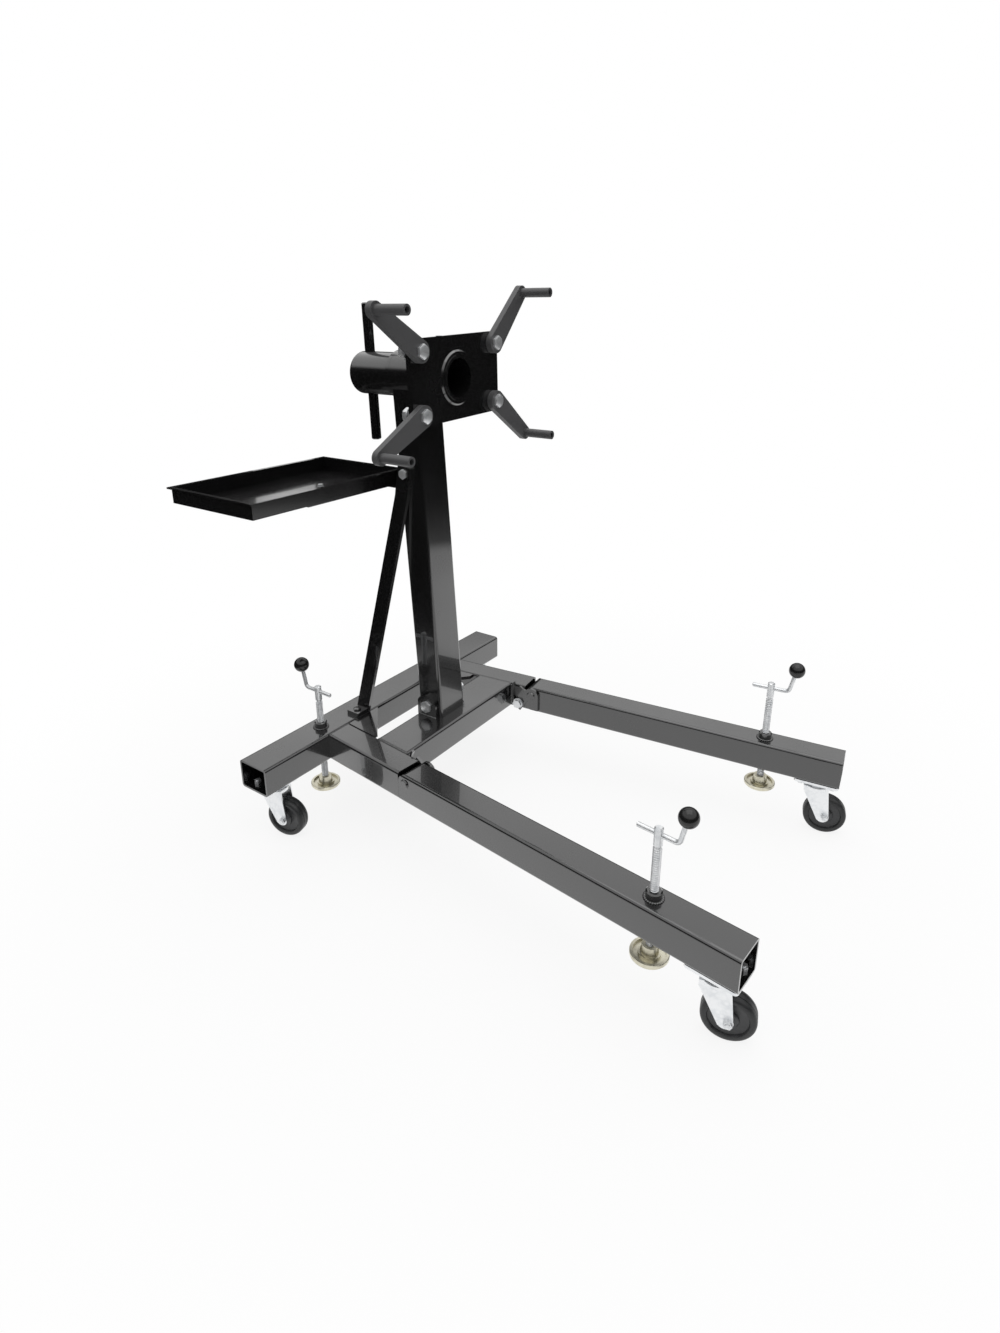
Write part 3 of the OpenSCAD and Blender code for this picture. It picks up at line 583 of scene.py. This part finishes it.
master = makeWheel(casterWheel)
turn = Matrix.Rotation(math.radians(casterWheel["heading"]), 3, "Z") @ Matrix.Rotation(math.pi / 2, 3, "X")
for end, side in corners:
    middle = middleOf(f"wheel_{end}_{side}")
    piece = placed(master, "casterWheel", turn, middle)
    finished(piece, f"casterWheel.{end}.{side}", f"{end}_{side}_wheel", "wheelRubber", "wheel_rubber",
             f"wheel_{end}_{side}")
    piece.data.materials.append(finish["hubNylon"])
    for face in piece.data.polygons:
        if (face.center - middle).length < casterWheel["hubTo"] * mm:
            face.material_index = 1
bpy.data.objects.remove(master)
print("wheels made")

# hex bolts with washers, nuts and rolled thread ends; the head's bearing face is at z = 0

boltShape = {
    "across": 1.5, "shank": 0.5, "core": 0.42, "tip": 0.4, "pitch": 0.125,  # in diameters
    "step": 1.0, "sunk": 0.5, "threadFrom": 0.2, "threadTo": 0.4,  # in millimetres
    "steps": 28,
}
headTilt = math.radians(2)
armSpot = {"x": 269.8, "across": 113.0, "up": 56.0, "axis": 896.0}


def armPlaces(s):
    places = []
    for y in (-s["across"], s["across"]):
        for z in (-s["up"], s["up"]):
            places.append((s["x"], y * math.cos(headTilt) - z * math.sin(headTilt),
                           s["axis"] + y * math.sin(headTilt) + z * math.cos(headTilt)))
    return places


boltSets = [
    {"name": "armBolts", "nodes": ["arm_bolts"], "body": "head", "look": "brightZinc",
     "d": 16, "grip": 24.3, "rim": 3.0, "cap": 10.0, "nut": 11.0, "tail": 2.0,
     "axis": (1, 0, 0), "spots": armPlaces(armSpot)},
    {"name": "mastFootBolt", "nodes": ["mast_foot_bolt"], "body": "frame", "look": "brightZinc",
     "d": 16, "grip": 96, "rim": 2.9, "cap": 10.4, "nut": 12.8, "tail": 3.0,
     "axis": (0, -1, 0), "spots": [(192, -48, 202)]},
    {"name": "braceTopBolt", "nodes": ["brace_bolts"], "body": "frame", "look": "brightZinc",
     "d": 12, "grip": 96, "rim": 2.2, "cap": 7.8, "nut": 9.6, "tail": 2.2,
     "axis": (0, -1, 0), "spots": [(152.8, -48, 708)]},
    {"name": "braceFootBolts", "nodes": [], "body": "frame", "look": "blackEnamel",
     "d": 10, "grip": 12, "rim": 1.8, "cap": 6.5, "nut": 8.0, "tail": 2.0,
     "axis": (0, 0, 1), "spots": [(58, -124, 188), (58, 124, 188)]},
]


def makeBolt(s):
    d, rim = s["d"], s["rim"]
    across, shank, core = boltShape["across"] * d, boltShape["shank"] * d, boltShape["core"] * d
    nutTop = -s["grip"] - rim
    nutLow = nutTop - s["nut"]
    end = nutLow - s["tail"]
    body = lathe([
        (0, end), (boltShape["tip"] * d, end), (core, nutLow), (core, -s["grip"]),
        (shank, boltShape["step"] - s["grip"]), (shank, rim + boltShape["sunk"]), (0, rim + boltShape["sunk"]),
    ], boltShape["steps"])
    return joined(
        hexBlock(across, rim, rim + s["cap"]), body,
        thread(shank, boltShape["pitch"] * d, end + boltShape["threadFrom"], nutLow + boltShape["threadTo"]),
        hexBlock(across, nutLow, nutTop, True),
        washer(d, shank, 0, rim), washer(d, shank, nutTop, -s["grip"]))


for boltSet in boltSets:
    master = makeBolt(boltSet)
    turn = alongAxis(boltSet["axis"])
    copies = [placed(master, boltSet["name"], turn, fromBack(*spot)) for spot in boltSet["spots"]]
    bpy.data.objects.remove(master)
    finished(joined(*copies), boltSet["name"], boltSet["body"], boltSet["look"], "zinc_plate", *boltSet["nodes"])
print("bolts made")

# weld beads: overlapping drops along the seams

weldDrop = {
    "width": 7.0, "long": 0.42, "wide": 0.5, "high": 0.26, "tilt": 0.35, "step": 0.5,
    "segments": 10, "rings": 6,
}
weldSpacing = weldDrop["width"] * weldDrop["step"]


def makeDrop(s):
    bpy.ops.object.select_all(action="DESELECT")
    bpy.ops.mesh.primitive_uv_sphere_add(segments=s["segments"], ring_count=s["rings"], radius=s["width"])
    drop = bpy.context.object
    editAll()
    bpy.ops.transform.resize(value=(s["long"], s["wide"], s["high"]))
    bpy.ops.transform.rotate(value=s["tilt"], orient_axis="Y", center_override=(0, 0, 0))
    return drop


def weldRow(start, end, out):
    run = end - start
    count = max(2, round(run.length / mm / weldSpacing))
    drop = makeDrop(weldDrop)
    bpy.ops.object.mode_set(mode="OBJECT")
    row = drop.modifiers.new("row", "ARRAY")
    row.use_relative_offset, row.use_constant_offset = False, True
    row.constant_offset_displace = (run.length / mm / (count - 1), 0, 0)
    row.count = count
    applyAll(drop)
    along = run.normalized()
    up = (Vector(out) - along * along.dot(Vector(out))).normalized()
    bead = placed(drop, "weldBead", Matrix((along, up.cross(along), up)).transposed(), start)
    bpy.data.objects.remove(drop)
    return bead


def weldRing(place, radius):
    count = round(fullTurn * radius / weldSpacing)
    drop = makeDrop(weldDrop)
    bpy.ops.transform.translate(value=(0, -radius, 0))
    bpy.ops.mesh.spin(
        steps=count - 1, dupli=True, angle=fullTurn * (count - 1) / count, center=(0, 0, 0), axis=(0, 0, 1))
    bpy.ops.object.mode_set(mode="OBJECT")
    bead = placed(drop, "weldRing", Matrix.Identity(3), place)
    bpy.data.objects.remove(drop)
    return bead


seams = {
    "top": 180.0, "sunk": 1.2, "proud": 0.8,
    "beamFront": 75.0, "ahead": 1.0, "stubEdge": 29.6, "stubInset": 4.0, "jointX": 290.0, "jointY": 219.0, "splay": 6.3,
    "crossBack": 172.0, "crossEnd": 254.0, "crossFront": 258.0, "crossSide": (174.0, 126.0),
    "ear": 48.5, "earEnd": 216.0,
    "nutX": 37.5, "nutY": 211.0, "nutRadius": 13.5,
}


def stubLine(x, offset, side, z):
    splay = math.radians(seams["splay"])
    y = seams["jointY"] - (seams["jointX"] - x) * math.tan(splay) + offset / math.cos(splay)
    return fromBack(x, side * y, z)


def frameSeams(s, side):
    flush, proud = s["top"] - s["sunk"], s["top"] + s["proud"]
    inside, back = s["stubInset"] - s["stubEdge"], s["beamFront"] + s["ahead"]
    upper, lower = s["crossSide"]
    return [
        weldRow(stubLine(back, inside, side, flush), stubLine(back, -inside, side, flush), (0, 0, 1)),
        weldRow(stubLine(s["crossBack"], -s["stubEdge"], side, flush),
                stubLine(s["crossEnd"], -s["stubEdge"], side, flush), (0, 0, 1)),
        weldRow(stubLine(s["crossFront"], -s["stubEdge"], side, upper),
                stubLine(s["crossFront"], -s["stubEdge"], side, lower), (1, -side, 0)),
        weldRow(fromBack(s["crossBack"], side * s["ear"], proud),
                fromBack(s["earEnd"], side * s["ear"], proud), (0, side, 1)),
        weldRing(fromBack(s["nutX"], side * s["nutY"], proud), s["nutRadius"]),
    ]


finished(joined(*frameSeams(seams, -1), *frameSeams(seams, 1)), "frameWelds", "frame", "blackEnamel", "black_paint")
for side in ("left", "right"):
    middle = middleOf(f"jack_pad_front_{side}")
    place = (middle.x, middle.y, (seams["top"] + seams["proud"]) * mm)
    ring = weldRing(place, seams["nutRadius"])
    finished(ring, f"nutWeld.{side}", f"{side}_leg", "blackEnamel", "black_paint")
print("welds made")

# studio: white ground, pale overhead light and a dark band along the horizon

studio = {
    "groundSize": 14.0,
    "groundTone": (0.86, 0.86, 0.86, 1),
    "groundRough": 0.9,
    "groundMiddle": (0.55, 0.55, 0),
    "groundEdge": (1.5, 1.85),  # where reflections of the ground fade out
    "groundWhite": (0.5, 1.5),  # the camera sees pure white beyond
    "shadowless": 0.86,
    "horizon": (0.28, 0.5),  # sine of the height where the surroundings turn from dark to white
    "dark": 0.012,
}
lamps = [
    {"name": "overheadPanel", "place": (0.2, 0.1, 3.0), "aim": (0, 0, 0.3), "size": (2.6, 2.6), "power": 20.0},
    # this one's reflection lies on the tray's floor
    {"name": "sidePanel", "place": (-2.70, 1.648, 1.327), "aim": (-0.44, -0.215, 0.6825), "size": (0.33, 0.34),
     "power": 0.4},
]
white = (1, 1, 1, 1)


def makeGround(setup):
    bpy.ops.object.select_all(action="DESELECT")
    bpy.ops.mesh.primitive_plane_add(size=setup["groundSize"], location=(0, 0, 0))
    ground = bpy.context.object
    ground.name = "studioGround"
    material = bpy.data.materials.new("paleGround")
    material.use_nodes = True
    tree = material.node_tree
    matt = tree.nodes["Principled BSDF"]
    matt.inputs["Base Color"].default_value = setup["groundTone"]
    matt.inputs["Roughness"].default_value = setup["groundRough"]
    matt.inputs["Specular IOR Level"].default_value = 0.0
    coords = addNode(tree, "ShaderNodeTexCoord").outputs["Object"]
    aside = addNode(tree, "ShaderNodeVectorMath", operation="DISTANCE")
    link(tree, coords, aside.inputs[0])
    aside.inputs[1].default_value = setup["groundMiddle"]
    away = addNode(tree, "ShaderNodeVectorMath", operation="LENGTH")
    link(tree, coords, away.inputs[0])
    rays = addNode(tree, "ShaderNodeLightPath")
    glow = addNode(tree, "ShaderNodeEmission")
    mirrored = addNode(tree, "ShaderNodeEmission")
    fade = rangeNode(tree, aside.outputs["Value"], *setup["groundEdge"], 1.0, setup["dark"])
    link(tree, fade, mirrored.inputs["Strength"])
    whiter = rangeNode(tree, away.outputs["Value"], *setup["groundWhite"], setup["shadowless"], 1.0)
    seen = mixShaders(tree, whiter, matt.outputs[0], glow.outputs[0])
    unseen = mixShaders(tree, rays.outputs["Is Glossy Ray"], matt.outputs[0], mirrored.outputs[0])
    surface = mixShaders(tree, rays.outputs["Is Camera Ray"], unseen, seen)
    link(tree, surface, tree.nodes["Material Output"].inputs["Surface"])
    ground.data.materials.append(material)


def makeWorld(setup):
    world = bpy.data.worlds.new("studioWorld")
    scene.world = world
    world.use_nodes = True
    tree = world.node_tree
    tree.nodes.clear()
    way = addNode(tree, "ShaderNodeSeparateXYZ")
    link(tree, addNode(tree, "ShaderNodeTexCoord").outputs["Generated"], way.inputs[0])
    around = addNode(tree, "ShaderNodeBackground")
    around.inputs["Color"].default_value = white
    link(tree, rangeNode(tree, way.outputs["Z"], *setup["horizon"], setup["dark"], 1.0), around.inputs["Strength"])
    plain = addNode(tree, "ShaderNodeBackground")
    plain.inputs["Color"].default_value = white
    rays = addNode(tree, "ShaderNodeLightPath")
    surface = mixShaders(tree, rays.outputs["Is Camera Ray"], around.outputs[0], plain.outputs[0])
    link(tree, surface, addNode(tree, "ShaderNodeOutputWorld").inputs["Surface"])


def addLamp(setup):
    data = bpy.data.lights.new(setup["name"], "AREA")
    data.shape = "RECTANGLE"
    data.size, data.size_y = setup["size"]
    data.energy = setup["power"]
    lamp = bpy.data.objects.new(setup["name"], data)
    lamp.location = setup["place"]
    lamp.rotation_euler = (Vector(setup["aim"]) - Vector(setup["place"])).to_track_quat("-Z", "Y").to_euler()
    lamp.visible_camera = False
    scene.collection.objects.link(lamp)


makeGround(studio)
makeWorld(studio)
for lamp in lamps:
    addLamp(lamp)
print("studio lit")
